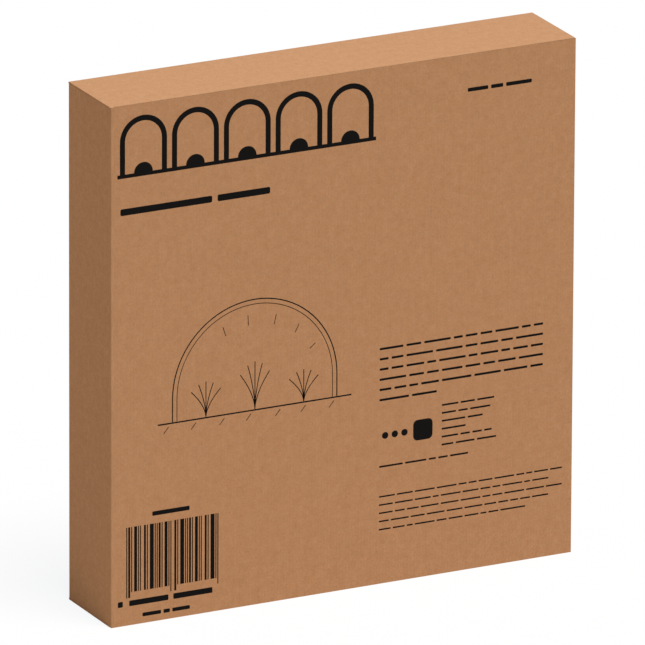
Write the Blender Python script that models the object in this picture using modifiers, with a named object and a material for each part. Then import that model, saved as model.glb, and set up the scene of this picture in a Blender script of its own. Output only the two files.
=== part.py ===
"""A tunnel greenhouse packed in its retail carton.

The carton is a roll-end mailer of thin corrugated board that stands on its narrow bottom wall. Its large
front is a lid on a vertical crease at the left, with a tuck flap behind the right edge. Inside stand the
four wire hoops of the tunnel, one behind the other, with the film folded between them.

Metres, +Z up. The origin is the centre of the carton's base, and the lid faces -Y.
"""

import math

import bmesh
import bpy
from mathutils import Matrix, Vector

# Carton, outside
CARTON_WIDTH = 0.475
CARTON_DEPTH = 0.088
CARTON_HEIGHT = 0.500

# Board and the play between folded layers
BOARD = 0.0016
PLAY = 0.0003
ROLL_RADIUS = 0.0020
EDGE_SOFTNESS = 0.0002

# Corner tabs and the lock tabs of the rolled walls
CORNER_TAB_LENGTH = 0.060
CORNER_TAB_SETBACK = 0.003
LOCK_TAB_WIDTH = 0.045
LOCK_TAB_SPACING = 0.250

# Tuck flap of the lid
TUCK_DEPTH = 0.040
TUCK_TAPER = 0.012
TUCK_END_CLEARANCE = 0.004
TUCK_CORNER_RADIUS = 0.008
TUCK_TIP_CLEARANCE = 0.0014
TUCK_RELAX_RATIO = 0.25

# Wire hoops
WIRE_DIAMETER = 0.004
HOOP_SIDE_CLEARANCE = 0.0209
HOOP_HEAD_CLEARANCE = 0.0089
PACK_RECESS = 0.0100

# Film
SLEEVE_WALL = 0.0009
HEM_HEIGHT = 0.095
PLEAT_DEPTH = 0.165
PLEAT_UNEVENNESS = 0.010
GATHER_DEPTH = 0.0030
GATHER_COUNT = 15
GATHER_MARGIN = 0.040
SKIRT_CLEARANCE = 0.006
SKIRT_GATHER_COUNT = 5

# Instruction leaflet
LEAFLET_WIDTH = 0.148
LEAFLET_HEIGHT = 0.210
LEAFLET_THICKNESS = 0.0012

# How finely round shapes are divided
ARC_STEPS = 24
TUBE_STEPS = 2
ROLL_STEPS = 4
FILM_COLUMNS = 72
FILM_ROWS = 7
SKIRT_COLUMNS = 14
SKIRT_ROWS = 5

# How many of each the tunnel has
HOOP_COUNT = 4
BAY_COUNT = HOOP_COUNT - 1

# Places worked out from the sizes above
FRONT_Y = -CARTON_DEPTH / 2
BACK_Y = CARTON_DEPTH / 2
HALF_WIDTH = CARTON_WIDTH / 2
LID_INNER_Y = FRONT_Y + BOARD
WALL_FRONT_Y = LID_INNER_Y + PLAY
BACK_INNER_Y = BACK_Y - BOARD
WALL_BACK_Y = BACK_INNER_Y - PLAY
SIDE_INNER_X = HALF_WIDTH - BOARD
ROLL_STACK = 3 * BOARD + 2 * PLAY
FLOOR_Z = ROLL_STACK
CEILING_Z = CARTON_HEIGHT - ROLL_STACK

WIRE_RADIUS = WIRE_DIAMETER / 2
SLEEVE_BORE_RADIUS = WIRE_RADIUS + PLAY
SLEEVE_RADIUS = SLEEVE_BORE_RADIUS + SLEEVE_WALL
HOOP_RADIUS = SIDE_INNER_X - HOOP_SIDE_CLEARANCE - WIRE_RADIUS
FOOT_Z = FLOOR_Z + PLAY
ARCH_CENTRE_Z = CEILING_Z - HOOP_HEAD_CLEARANCE - WIRE_RADIUS - HOOP_RADIUS
HEM_Z = FOOT_Z + HEM_HEIGHT
FRONT_HOOP_Y = LID_INNER_Y + PACK_RECESS + SLEEVE_RADIUS
REAR_HOOP_Y = BACK_INNER_Y - PLAY - SLEEVE_RADIUS
HOOP_PITCH = (REAR_HOOP_Y - FRONT_HOOP_Y) / BAY_COUNT
BAY_THICKNESS = HOOP_PITCH - 2 * SLEEVE_RADIUS - 2 * PLAY

TUCK_CREASE = Vector((SIDE_INNER_X - PLAY, LID_INNER_Y, CARTON_HEIGHT / 2))

# The tuck flap's tip swings in an arc about the lid's crease, and relaxes outward on its own crease as it
# goes, so the flap leans in by that much and a clearance
TUCK_TIP_SWING = TUCK_DEPTH ** 2 * (1 + TUCK_RELAX_RATIO) / (2 * CARTON_WIDTH)
TUCK_LEAN = math.asin((TUCK_TIP_SWING + TUCK_TIP_CLEARANCE) / TUCK_DEPTH)


def clear_scene():
    for item in list(bpy.data.objects):
        bpy.data.objects.remove(item, do_unlink=True)


def new_collection(name):
    collection = bpy.data.collections.new(name)
    bpy.context.scene.collection.children.link(collection)
    return collection


def new_material(name, colour, roughness, metallic=0.0):
    material = bpy.data.materials.new(name)
    material.use_nodes = True
    shader = material.node_tree.nodes["Principled BSDF"]
    shader.inputs["Base Color"].default_value = (*colour, 1.0)
    shader.inputs["Roughness"].default_value = roughness
    shader.inputs["Metallic"].default_value = metallic
    material.diffuse_color = (*colour, 1.0)
    return material


def kraft_board(name):
    return new_material(name, (0.43, 0.23, 0.11), 0.85)


def clear_film(name):
    return new_material(name, (0.80, 0.84, 0.82), 0.35)


def steel_wire(name):
    return new_material(name, (0.42, 0.43, 0.43), 0.40, 0.9)


def white_paper(name):
    return new_material(name, (0.82, 0.81, 0.78), 0.80)


def add_object(name, data, collection, material):
    """Link one object for one sub-part, with a material of its own."""
    item = bpy.data.objects.new(name, data)
    data.materials.clear()
    data.materials.append(material)
    collection.objects.link(item)
    return item


def mesh_from_bmesh(name, shape):
    """A mesh of one closed body whose faces all look outward."""
    mesh = bpy.data.meshes.new(name)
    bmesh.ops.recalc_face_normals(shape, faces=shape.faces)
    if shape.calc_volume(signed=True) < 0:
        bmesh.ops.reverse_faces(shape, faces=shape.faces)
    shape.to_mesh(mesh)
    shape.free()
    return mesh


def soften_edges(item):
    """Board is cut and creased, so its edges are never perfectly sharp."""
    bevel = item.modifiers.new("softened edges", "BEVEL")
    bevel.width = EDGE_SOFTNESS
    bevel.segments = 1
    bevel.limit_method = "ANGLE"


def make_panel(name, low, high, collection, material, outer_axis=None, mitred_edges=()):
    """A flat panel of board from its low corner to its high corner.

    outer_axis is the signed axis that the outer face looks along. On each signed axis in mitred_edges the
    inner face is drawn back by the board's thickness, where the panel folds into its neighbour.
    """
    shape = bmesh.new()
    bmesh.ops.create_cube(shape, size=1.0)
    low = Vector(low)
    high = Vector(high)
    for vertex in shape.verts:
        side = vertex.co.copy()
        for axis in range(3):
            vertex.co[axis] = low[axis] if side[axis] < 0 else high[axis]
        if outer_axis is not None and side.dot(outer_axis) < 0:
            for edge in mitred_edges:
                if side.dot(edge) > 0:
                    vertex.co -= edge * BOARD
    item = add_object(name, mesh_from_bmesh(name, shape), collection, material)
    soften_edges(item)
    return item


def cut_slot(item, name, low, high, cutters):
    """Cut a straight slot through a panel with a box."""
    shape = bmesh.new()
    bmesh.ops.create_cube(shape, size=1.0)
    for vertex in shape.verts:
        for axis in range(3):
            vertex.co[axis] = low[axis] if vertex.co[axis] < 0 else high[axis]
    cutter = bpy.data.objects.new(name, mesh_from_bmesh(name, shape))
    cutter.hide_render = True
    cutter.display_type = "WIRE"
    cutters.objects.link(cutter)
    boolean = item.modifiers.new(name, "BOOLEAN")
    boolean.operation = "DIFFERENCE"
    boolean.solver = "EXACT"
    boolean.object = cutter


def make_back_panel(parts, cutters):
    left_edge = Vector((-1, 0, 0))
    right_edge = Vector((1, 0, 0))
    panel = make_panel(
        "carton_back_panel",
        (-HALF_WIDTH, BACK_INNER_Y, 0.0),
        (HALF_WIDTH, BACK_Y, CARTON_HEIGHT),
        parts,
        kraft_board("back panel board"),
        Vector((0, 1, 0)),
        (left_edge, right_edge),
    )
    slot_half_width = LOCK_TAB_WIDTH / 2 + PLAY
    for end, tab_low_z in (("top", CEILING_Z), ("bottom", FLOOR_Z - BOARD)):
        for side, sign in (("left", -1), ("right", 1)):
            middle = sign * LOCK_TAB_SPACING / 2
            low = (middle - slot_half_width, BACK_INNER_Y - BOARD, tab_low_z - PLAY)
            high = (middle + slot_half_width, BACK_Y + BOARD, tab_low_z + BOARD + PLAY)
            cut_slot(panel, f"{end}_{side}_lock_slot", low, high, cutters)


def make_side_wall(side, sign, parts):
    """A single side wall: folded from the back panel, and folded again into its two corner tabs."""
    outer = sign * HALF_WIDTH
    inner = sign * SIDE_INNER_X
    corner_inset = BOARD + PLAY
    make_panel(
        f"carton_{side}_wall",
        (min(outer, inner), WALL_FRONT_Y, corner_inset),
        (max(outer, inner), BACK_Y - PLAY, CARTON_HEIGHT - corner_inset),
        parts,
        kraft_board(f"{side} wall board"),
        Vector((sign, 0, 0)),
        (Vector((0, 1, 0)), Vector((0, 0, 1)), Vector((0, 0, -1))),
    )


def make_corner_tab(end, side, sign, parts):
    """A tab that folds in from the end of a side wall and lies inside the rolled wall."""
    is_top = end == "top"
    inner_z = BOARD + PLAY + BOARD
    low_z = CARTON_HEIGHT - inner_z if is_top else BOARD + PLAY
    outer = sign * (HALF_WIDTH - PLAY)
    tip = sign * (HALF_WIDTH - CORNER_TAB_LENGTH)
    make_panel(
        f"{end}_{side}_corner_tab",
        (min(outer, tip), WALL_FRONT_Y + ROLL_RADIUS + CORNER_TAB_SETBACK, low_z),
        (max(outer, tip), WALL_BACK_Y - CORNER_TAB_SETBACK, low_z + BOARD),
        parts,
        kraft_board(f"{end} {side} tab board"),
        Vector((0, 0, 1 if is_top else -1)),
        (Vector((sign, 0, 0)),),
    )


def rolled_wall_path():
    """Outer face of a rolled wall in section, as (y, depth inward), from the back crease round to the tabs."""
    path = [(WALL_BACK_Y, 0.0)]
    quarter = math.pi / 2
    for centre_depth, start_angle in ((ROLL_RADIUS, 0.0), (ROLL_STACK - ROLL_RADIUS, quarter)):
        for step in range(ROLL_STEPS + 1):
            angle = start_angle + quarter * step / ROLL_STEPS
            y = WALL_FRONT_Y + ROLL_RADIUS - ROLL_RADIUS * math.sin(angle)
            depth = centre_depth - ROLL_RADIUS * math.cos(angle)
            path.append((y, depth))
    path.append((WALL_BACK_Y, ROLL_STACK))
    path.append((BACK_Y, ROLL_STACK))
    return path


def make_rolled_wall(end, parts):
    """A double wall: the outer layer folds over at the front and comes back inside, over the corner tabs."""
    is_top = end == "top"
    tab_inner = (LOCK_TAB_SPACING - LOCK_TAB_WIDTH) / 2
    tab_outer = (LOCK_TAB_SPACING + LOCK_TAB_WIDTH) / 2
    inner_half_width = SIDE_INNER_X - PLAY
    path = rolled_wall_path()
    shape = bmesh.new()
    rows = []
    for index, (y, depth) in enumerate(path):
        z = CARTON_HEIGHT - depth if is_top else depth
        half_width = HALF_WIDTH if index < 2 else inner_half_width
        columns = (-half_width, -tab_outer, -tab_inner, tab_inner, tab_outer, half_width)
        rows.append([shape.verts.new((x, y, z)) for x in columns])
    tab_columns = (1, 3)
    last_strip = len(rows) - 2
    for strip, (near, far) in enumerate(zip(rows, rows[1:])):
        for column in range(len(near) - 1):
            if strip == last_strip and column not in tab_columns:
                continue
            corners = [near[column], near[column + 1], far[column + 1], far[column]]
            shape.faces.new(corners[::-1] if is_top else corners)
    loose = [vertex for vertex in shape.verts if not vertex.link_faces]
    bmesh.ops.delete(shape, geom=loose, context="VERTS")
    name = f"{end}_rolled_wall"
    mesh = bpy.data.meshes.new(name)
    shape.to_mesh(mesh)
    shape.free()
    wall = add_object(name, mesh, parts, kraft_board(f"{end} wall board"))
    solidify = wall.modifiers.new("board thickness", "SOLIDIFY")
    solidify.thickness = BOARD
    solidify.offset = -1.0
    solidify.use_even_offset = True


def new_pivot(name, place, collection):
    """An empty on a joint's axis, which carries what turns there."""
    pivot = bpy.data.objects.new(name, None)
    pivot.location = place
    collection.objects.link(pivot)
    return pivot


def carry(pivot, item):
    """Hang an item on a pivot without moving it."""
    item.parent = pivot
    item.matrix_parent_inverse = Matrix.Translation(pivot.location).inverted()


def make_lid(parts):
    """The large front panel, which swings on the vertical crease at its left edge."""
    hinge = new_pivot("lid_crease_axis", (-HALF_WIDTH, FRONT_Y, CARTON_HEIGHT / 2), parts)
    lid = make_panel(
        "lid_panel",
        (-HALF_WIDTH, FRONT_Y, 0.0),
        (HALF_WIDTH, LID_INNER_Y, CARTON_HEIGHT),
        parts,
        kraft_board("lid board"),
    )
    carry(hinge, lid)
    return hinge


def rounded_outline(corners, radii, steps):
    """Points of a closed outline whose corners are rounded, each with its own radius."""
    points = []
    count = len(corners)
    for index, corner in enumerate(corners):
        radius = radii[index]
        before = (corners[index - 1] - corner).normalized()
        after = (corners[(index + 1) % count] - corner).normalized()
        if radius == 0.0:
            points.append(corner)
            continue
        half_angle = before.angle(after) / 2
        reach = radius / math.tan(half_angle)
        centre = corner + (before + after).normalized() * radius / math.sin(half_angle)
        start = corner + before * reach - centre
        finish = corner + after * reach - centre
        for step in range(steps + 1):
            blend = start.lerp(finish, step / steps)
            points.append(centre + blend.normalized() * radius)
    return points


def make_tuck_flap(hinge, parts):
    """The flap behind the lid's right edge. It tapers to its tip and leans in, away from the right wall."""
    crease = new_pivot("tuck_crease_axis", TUCK_CREASE, parts)
    carry(hinge, crease)
    half_root = CARTON_HEIGHT / 2 - ROLL_STACK - TUCK_END_CLEARANCE
    half_tip = half_root - TUCK_TAPER
    corners = [
        Vector((PLAY, -half_root)),
        Vector((TUCK_DEPTH, -half_tip)),
        Vector((TUCK_DEPTH, half_tip)),
        Vector((PLAY, half_root)),
    ]
    radii = (0.0, TUCK_CORNER_RADIUS, TUCK_CORNER_RADIUS, 0.0)
    outline = rounded_outline(corners, radii, ROLL_STEPS)
    curve = bpy.data.curves.new("lid_tuck_flap", "CURVE")
    curve.dimensions = "2D"
    curve.fill_mode = "BOTH"
    curve.extrude = BOARD / 2
    spline = curve.splines.new("POLY")
    spline.points.add(len(outline) - 1)
    for point, place in zip(spline.points, outline):
        point.co = (place.x, place.y, 0.0, 1.0)
    spline.use_cyclic_u = True
    flap = add_object("lid_tuck_flap", curve, parts, kraft_board("tuck flap board"))
    inward = Vector((-math.sin(TUCK_LEAN), math.cos(TUCK_LEAN), 0.0))
    upward = Vector((0.0, 0.0, 1.0))
    outward = inward.cross(upward)
    turn = Matrix((inward, upward, outward)).transposed().to_4x4()
    flap.matrix_world = Matrix.Translation(TUCK_CREASE - outward * BOARD / 2) @ turn
    flap.parent = crease
    flap.matrix_parent_inverse = Matrix.Translation(TUCK_CREASE).inverted()


def hoop_y(number):
    """Hoops are counted from the lid, so the first one stands in front."""
    return FRONT_HOOP_Y + HOOP_PITCH * (number - 1)


def hoop_line(low_z):
    """Centre line of a hoop from one leg, over the arch, to the other leg, in its own upright plane."""
    points = [Vector((-HOOP_RADIUS, 0.0, low_z))]
    for step in range(ARC_STEPS + 1):
        angle = math.pi * (1 - step / ARC_STEPS)
        x = HOOP_RADIUS * math.cos(angle)
        z = ARCH_CENTRE_Z + HOOP_RADIUS * math.sin(angle)
        points.append(Vector((x, 0.0, z)))
    points.append(Vector((HOOP_RADIUS, 0.0, low_z)))
    return points


def make_tube(name, line, radius, collection, material):
    """A round wire or tube along a line, closed at both ends."""
    curve = bpy.data.curves.new(name, "CURVE")
    curve.dimensions = "3D"
    curve.bevel_depth = radius
    curve.bevel_resolution = TUBE_STEPS
    curve.use_fill_caps = True
    spline = curve.splines.new("POLY")
    spline.points.add(len(line) - 1)
    for point, place in zip(spline.points, line):
        point.co = (*place, 1.0)
    return add_object(name, curve, collection, material)


def mesh_of_tube(tube, collection):
    """The tube again as a closed mesh, which a Boolean modifier can work on."""
    bpy.context.view_layer.update()
    graph = bpy.context.evaluated_depsgraph_get()
    mesh = bpy.data.meshes.new_from_object(tube.evaluated_get(graph))
    shape = bmesh.new()
    shape.from_mesh(mesh)
    bmesh.ops.remove_doubles(shape, verts=shape.verts, dist=EDGE_SOFTNESS / 10)
    shape.to_mesh(mesh)
    shape.free()
    name = tube.name
    place = tube.matrix_world.copy()
    bpy.data.objects.remove(tube, do_unlink=True)
    item = bpy.data.objects.new(name, mesh)
    item.matrix_world = place
    collection.objects.link(item)
    return item


def make_hoop(number, parts, cutters):
    """One wire hoop and the film sleeve that runs round it down to the hem."""
    place = (0.0, hoop_y(number), 0.0)
    hoop = make_tube(f"hoop_{number}", hoop_line(FOOT_Z), WIRE_RADIUS, parts, steel_wire(f"hoop {number} wire"))
    hoop.location = place
    film = clear_film(f"sleeve {number} film")
    tube = make_tube(f"hoop_sleeve_{number}", hoop_line(HEM_Z), SLEEVE_RADIUS, parts, film)
    sleeve = mesh_of_tube(tube, parts)
    sleeve.location = place
    bore_line = hoop_line(HEM_Z - SLEEVE_RADIUS)
    bore = mesh_of_tube(make_tube(f"sleeve_bore_{number}", bore_line, SLEEVE_BORE_RADIUS, cutters, film), cutters)
    bore.location = place
    bore.hide_render = True
    bore.display_type = "WIRE"
    boolean = sleeve.modifiers.new("bore for the wire", "BOOLEAN")
    boolean.operation = "DIFFERENCE"
    boolean.solver = "EXACT"
    boolean.object = bore


def add_folded_film(name, columns, rows, place_of, parts):
    """A stack of pleated film, as thick as the space between two hoop sleeves.

    place_of gives a point of the stack's middle and how far it is gathered there, from 0 where it lies
    against the sleeves to 1 inside. The gathers take their depth from the stack's thickness.
    """
    shape = bmesh.new()
    bmesh.ops.create_grid(shape, x_segments=columns, y_segments=rows, size=1.0)
    bmesh.ops.solidify(shape, geom=shape.faces[:], thickness=1.0)
    layers = [vertex.co.z for vertex in shape.verts]
    middle_layer = (min(layers) + max(layers)) / 2
    for vertex in shape.verts:
        across = (vertex.co.x + 1) / 2
        inward = (vertex.co.y + 1) / 2
        side = 1 if vertex.co.z > middle_layer else -1
        vertex.co, gathered = place_of(across, inward)
        vertex.co.y += side * (BAY_THICKNESS / 2 - GATHER_DEPTH * gathered)
    mesh = mesh_from_bmesh(name, shape)
    add_object(name, mesh, parts, clear_film(f"{name} film"))
    mesh.shade_smooth()


def arch_point(run):
    """Point and inward direction of a hoop's centre line, a length run from its left hem over to the right."""
    leg = ARCH_CENTRE_Z - HEM_Z
    arc = math.pi * HOOP_RADIUS
    if run < leg:
        return Vector((-HOOP_RADIUS, 0.0, HEM_Z + run)), Vector((1.0, 0.0, 0.0))
    if run > leg + arc:
        return Vector((HOOP_RADIUS, 0.0, ARCH_CENTRE_Z - (run - leg - arc))), Vector((-1.0, 0.0, 0.0))
    angle = math.pi - (run - leg) / HOOP_RADIUS
    outward = Vector((math.cos(angle), 0.0, math.sin(angle)))
    return Vector((0.0, 0.0, ARCH_CENTRE_Z)) + outward * HOOP_RADIUS, -outward


def make_film_bay(number, parts):
    """The film between two hoops, pleated inward from the arch, and gathered where the arch draws it in."""
    middle_y = hoop_y(number) + HOOP_PITCH / 2
    leg = ARCH_CENTRE_Z - HEM_Z
    arc = math.pi * HOOP_RADIUS

    def place_of(across, inward):
        run = across * (2 * leg + arc)
        point, direction = arch_point(run)
        round_arch = max(0.0, min(1.0, (run - leg) / arc))
        swell = math.sin(math.pi * round_arch)
        uneven = PLEAT_UNEVENNESS * math.sin(GATHER_COUNT * across + number)
        depth = (PLEAT_DEPTH + uneven) * inward
        place = point + direction * (depth - SLEEVE_RADIUS)
        gathered = swell * min(1.0, depth / GATHER_MARGIN)
        wave = math.sin(2 * math.pi * GATHER_COUNT * round_arch + number)
        place.y = middle_y + GATHER_DEPTH * gathered * wave
        return place, gathered

    add_folded_film(f"film_bay_{number}", FILM_COLUMNS, FILM_ROWS, place_of, parts)


def make_skirt(number, side, sign, parts):
    """A ground skirt, pleated inward like the film above it and hanging down beside the leg."""
    middle_y = hoop_y(number) + HOOP_PITCH / 2
    outer_x = HOOP_RADIUS + SLEEVE_RADIUS
    low_z = FLOOR_Z + SKIRT_CLEARANCE
    high_z = HEM_Z - PLAY

    def place_of(across, downward):
        from_leg = PLEAT_DEPTH * across
        drop = (high_z - low_z) * downward
        gathered = min(1.0, min(from_leg, drop) / GATHER_MARGIN)
        wave = math.sin(2 * math.pi * SKIRT_GATHER_COUNT * across + number)
        place = Vector((sign * (outer_x - from_leg), middle_y + GATHER_DEPTH * gathered * wave, high_z - drop))
        return place, gathered

    add_folded_film(f"{side}_skirt_{number}", SKIRT_COLUMNS, SKIRT_ROWS, place_of, parts)


def make_leaflet(parts):
    """The folded leaflet, which stands on the floor of the carton against the first bay of film."""
    back_y = FRONT_HOOP_Y + SLEEVE_RADIUS
    make_panel(
        "instruction_leaflet",
        (-LEAFLET_WIDTH / 2, back_y - LEAFLET_THICKNESS, FOOT_Z),
        (LEAFLET_WIDTH / 2, back_y, FOOT_Z + LEAFLET_HEIGHT),
        parts,
        white_paper("leaflet paper"),
    )


def main():
    clear_scene()
    parts = new_collection("boxed_tunnel_greenhouse")
    cutters = new_collection("cutters")
    make_back_panel(parts, cutters)
    for side, sign in (("left", -1), ("right", 1)):
        make_side_wall(side, sign, parts)
        for end in ("top", "bottom"):
            make_corner_tab(end, side, sign, parts)
    for end in ("top", "bottom"):
        make_rolled_wall(end, parts)
    hinge = make_lid(parts)
    make_tuck_flap(hinge, parts)
    for number in range(1, HOOP_COUNT + 1):
        make_hoop(number, parts, cutters)
    for number in range(1, BAY_COUNT + 1):
        make_film_bay(number, parts)
        for side, sign in (("left", -1), ("right", 1)):
            make_skirt(number, side, sign, parts)
    make_leaflet(parts)


main()
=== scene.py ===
"""Looks of a tunnel greenhouse packed in its retail carton.

The carton is rebuilt as folded board with rounded creases, liners and flutes. The black marks on its lid
are generic. Inside, wires, sleeves and pleated film replace the plain solids of the folded tunnel.
"""

import math
import random

import bpy
from mathutils import Matrix, Vector, noise


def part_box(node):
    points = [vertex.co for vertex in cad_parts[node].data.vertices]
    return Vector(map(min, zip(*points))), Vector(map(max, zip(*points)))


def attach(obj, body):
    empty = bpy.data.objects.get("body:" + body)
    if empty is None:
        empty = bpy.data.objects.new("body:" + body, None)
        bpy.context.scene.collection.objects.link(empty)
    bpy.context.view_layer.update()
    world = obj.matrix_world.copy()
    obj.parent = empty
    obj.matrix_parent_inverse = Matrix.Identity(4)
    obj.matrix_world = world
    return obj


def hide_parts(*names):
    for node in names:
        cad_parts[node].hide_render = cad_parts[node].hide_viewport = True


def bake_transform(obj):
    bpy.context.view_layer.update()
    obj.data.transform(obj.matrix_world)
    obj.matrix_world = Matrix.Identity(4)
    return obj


MM = 0.001

# Board and its layers
BOARD = 1.6 * MM
LINER = 0.25 * MM
MEDIUM = 0.2 * MM
FLUTE_PITCH = 3.2 * MM
FLUTE_STEPS = 8
CORE_RECESS = 0.1 * MM
EDGE_RECESS = 0.5 * MM

# Creases, and the seam between neighbouring pieces
OUTER_FOLD_RADIUS = 1.0 * MM
INNER_FOLD_RADIUS = 0.25 * MM
ROLL_RADIUS = 2.0 * MM
ARC_STEPS = 8
CREASE_REACH = 3.0 * MM
CREASE_STEPS = 4
CORNER_NOTCH_DEPTH = 1.2 * MM
SEAM = 0.06 * MM

# A face whose normal has more than this along x is on a side wall
SIDEWAYS = 0.7

# Lock tabs with their slots, and the tuck flap
SLOT_MIDDLE = 125 * MM
SLOT_WIDTH = 45.6 * MM
SLOT_PLAY = 0.3 * MM
TUCK_DEPTH = 40 * MM
TUCK_TAPER = 12 * MM
TUCK_CORNER_RADIUS = 8 * MM
TUCK_CORNER_STEPS = 9
TUCK_ROOT = 0.3 * MM

# Ink
PRINT_PROUD = 0.06 * MM
PRINT_SUNK = 0.02 * MM
PRINT_THICKNESS = 0.05 * MM

# A bar in a word's place: shares of the type's height, its rounding, and its least and most letters
LETTER_WIDTH = 0.76
WORD_GAP = 0.8
BAR_THICKNESS = 0.54
BAR_ROUNDING = 0.3
LEAST_LETTERS = 3
MOST_LETTERS = 10

# Hoops of wire and their sleeves of film, counted from the lid to the back
HOOP_BODIES = ("first_hoop", "second_hoop", "third_hoop", "carton")
HOOP_STEPS = 180
TUBE_SIDES = 20
WIRE_RADIUS = 2.0 * MM
WIRE_END_SHARE = 0.82
SLEEVE_RADIUS = 3.2 * MM
SLEEVE_STEPS = 420
SLEEVE_GAP = 0.15 * MM
SLEEVE_SLACK = 1.05 * MM

# Folded film
LAYER_COUNT = 6
DEPTH_STEPS = 11
PLEAT_DEPTH = 165 * MM
PLEAT_UNEVENNESS = 10 * MM
RAGGED_EDGE = 5 * MM
LOOSE_HEM = 3 * MM
LEAST_HEM = 0.4 * MM
GATHER_COUNT = 15
GATHER_DEPTH = 4.2 * MM
GATHER_MARGIN = 40 * MM
LEAST_GATHER = 0.45
SHEET_CLEARANCE = 0.3 * MM
BAY_COLUMNS = 200
SKIRT_COLUMNS = 24
SKIRT_GATHER_COUNT = 5
SKIRT_START = 1 * MM
SKIRT_SETBACK = 3 * MM

# Leaflet
LEAFLET_SHEETS = 3
PAPER_THICKNESS = 0.12 * MM
PAPER_PITCH = 0.2 * MM
PAPER_STEP = 0.6 * MM

# Colours and gloss
KRAFT_DARK = (0.450, 0.227, 0.104)
KRAFT_MIDDLE = (0.508, 0.264, 0.126)
KRAFT_LIGHT = (0.570, 0.304, 0.150)
KRAFT_FLECK = (0.330, 0.152, 0.066)
WARM_PULP = (1.0, 0.93, 0.86)
WARM_PULP_SHARE = 0.6
CORE_DARK = (0.26, 0.125, 0.058)
CORE_LIGHT = (0.40, 0.205, 0.098)
INK_BLACK = (0.006, 0.0055, 0.005)
INK_THIN = (0.030, 0.019, 0.013)
ZINC_DARK = (0.34, 0.35, 0.36)
ZINC_LIGHT = (0.60, 0.61, 0.62)
FILM_CLEAR = (0.87, 0.895, 0.89)
FILM_WHITENED = (0.94, 0.95, 0.945)
PAGE_DARK = (0.78, 0.77, 0.73)
PAGE_LIGHT = (0.86, 0.855, 0.83)
BOARD_GLOSS = 0.04
FILM_ALPHA = 0.40
HEM_ALPHA = 0.58

# Stage, light and camera
CAMERA_PLACE = Vector((-6.2149, -12.2629, 4.8968))
CAMERA_AZIMUTH = math.radians(-26.877)
CAMERA_ELEVATION = math.radians(18.688)
CAMERA_ROLL = math.radians(0.25)
CLIP_NEAR = 1.0
CLIP_FAR = 100.0
LENS = 882.0
SENSOR = 36.0
SUN_DIRECTION = Vector((0.12, -0.31, 1.0))
SUN_STRENGTH = 3.12
SUN_ANGLE = math.radians(25)
SUN_COLOUR = (0.99, 1.025, 1.12)
SKY_STRENGTH = 0.275
SKY_COLOUR = (1.0, 1.05, 1.18)
PLAIN_WHITE = (1.0, 1.0, 1.0)
FLOOR_SIZE = 30
FLOOR_COLOUR = (0.68, 0.61, 0.51)
FLOOR_WHITE = (1.027, 1.037, 1.048)
FLOOR_WHITE_SHARE = 0.86

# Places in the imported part
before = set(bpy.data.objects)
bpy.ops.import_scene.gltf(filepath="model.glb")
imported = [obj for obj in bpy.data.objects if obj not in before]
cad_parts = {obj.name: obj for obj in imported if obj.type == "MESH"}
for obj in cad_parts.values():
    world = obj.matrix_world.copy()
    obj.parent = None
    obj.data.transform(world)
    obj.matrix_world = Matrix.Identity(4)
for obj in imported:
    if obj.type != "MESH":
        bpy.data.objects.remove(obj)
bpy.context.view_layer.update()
lid_low, lid_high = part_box("lid_panel")
top_wall_low, top_wall_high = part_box("top_rolled_wall")
hoop_low, hoop_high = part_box("hoop_1")
HALF_WIDTH = lid_high.x
HEIGHT = lid_high.z
LID_FACE_Y = lid_low.y + PRINT_PROUD
LID_BACK_Y = lid_high.y
WALL_FRONT_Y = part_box("carton_right_wall")[0].y
BACK_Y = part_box("carton_back_panel")[1].y
FLOOR_TOP_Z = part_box("bottom_rolled_wall")[1].z
ROLL_FRONT_Y = top_wall_low.y
ROLL_DEPTH = top_wall_high.z - top_wall_low.z
HOOP_RADIUS = hoop_high.x - WIRE_RADIUS
ARCH_Z = hoop_high.z - WIRE_RADIUS - HOOP_RADIUS
FOOT_Z = hoop_low.z
HEM_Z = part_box("hoop_sleeve_1")[0].z
LEG = ARCH_Z - HEM_Z
ARC_LENGTH = math.pi * HOOP_RADIUS


def clamp(value, low=0.0, high=1.0):
    return max(low, min(high, value))


def smooth(value):
    """Eases from 0 to 1, level at both ends."""
    value = clamp(value)
    return value * value * (3 - 2 * value)


def arc(centre, radius, start, finish, steps=ARC_STEPS):
    """Points along an arc in a plane, angles in degrees."""
    points = []
    for step in range(steps + 1):
        angle = math.radians(start + (finish - start) * step / steps)
        points.append((centre[0] + radius * math.cos(angle), centre[1] + radius * math.sin(angle)))
    return points


def flute_wave(step, swing):
    """Height of the fluted paper's wave at a step along it."""
    return swing * math.sin(2 * math.pi * step / FLUTE_STEPS)


def upright(x, y, height):
    """Places an outline in plan, drawn out upward."""
    return Vector((x, y, height))


def signed_area(loop):
    total = 0.0
    for (ax, ay), (bx, by) in zip(loop, loop[1:] + loop[:1]):
        total += ax * by - bx * ay
    return total / 2


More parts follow.
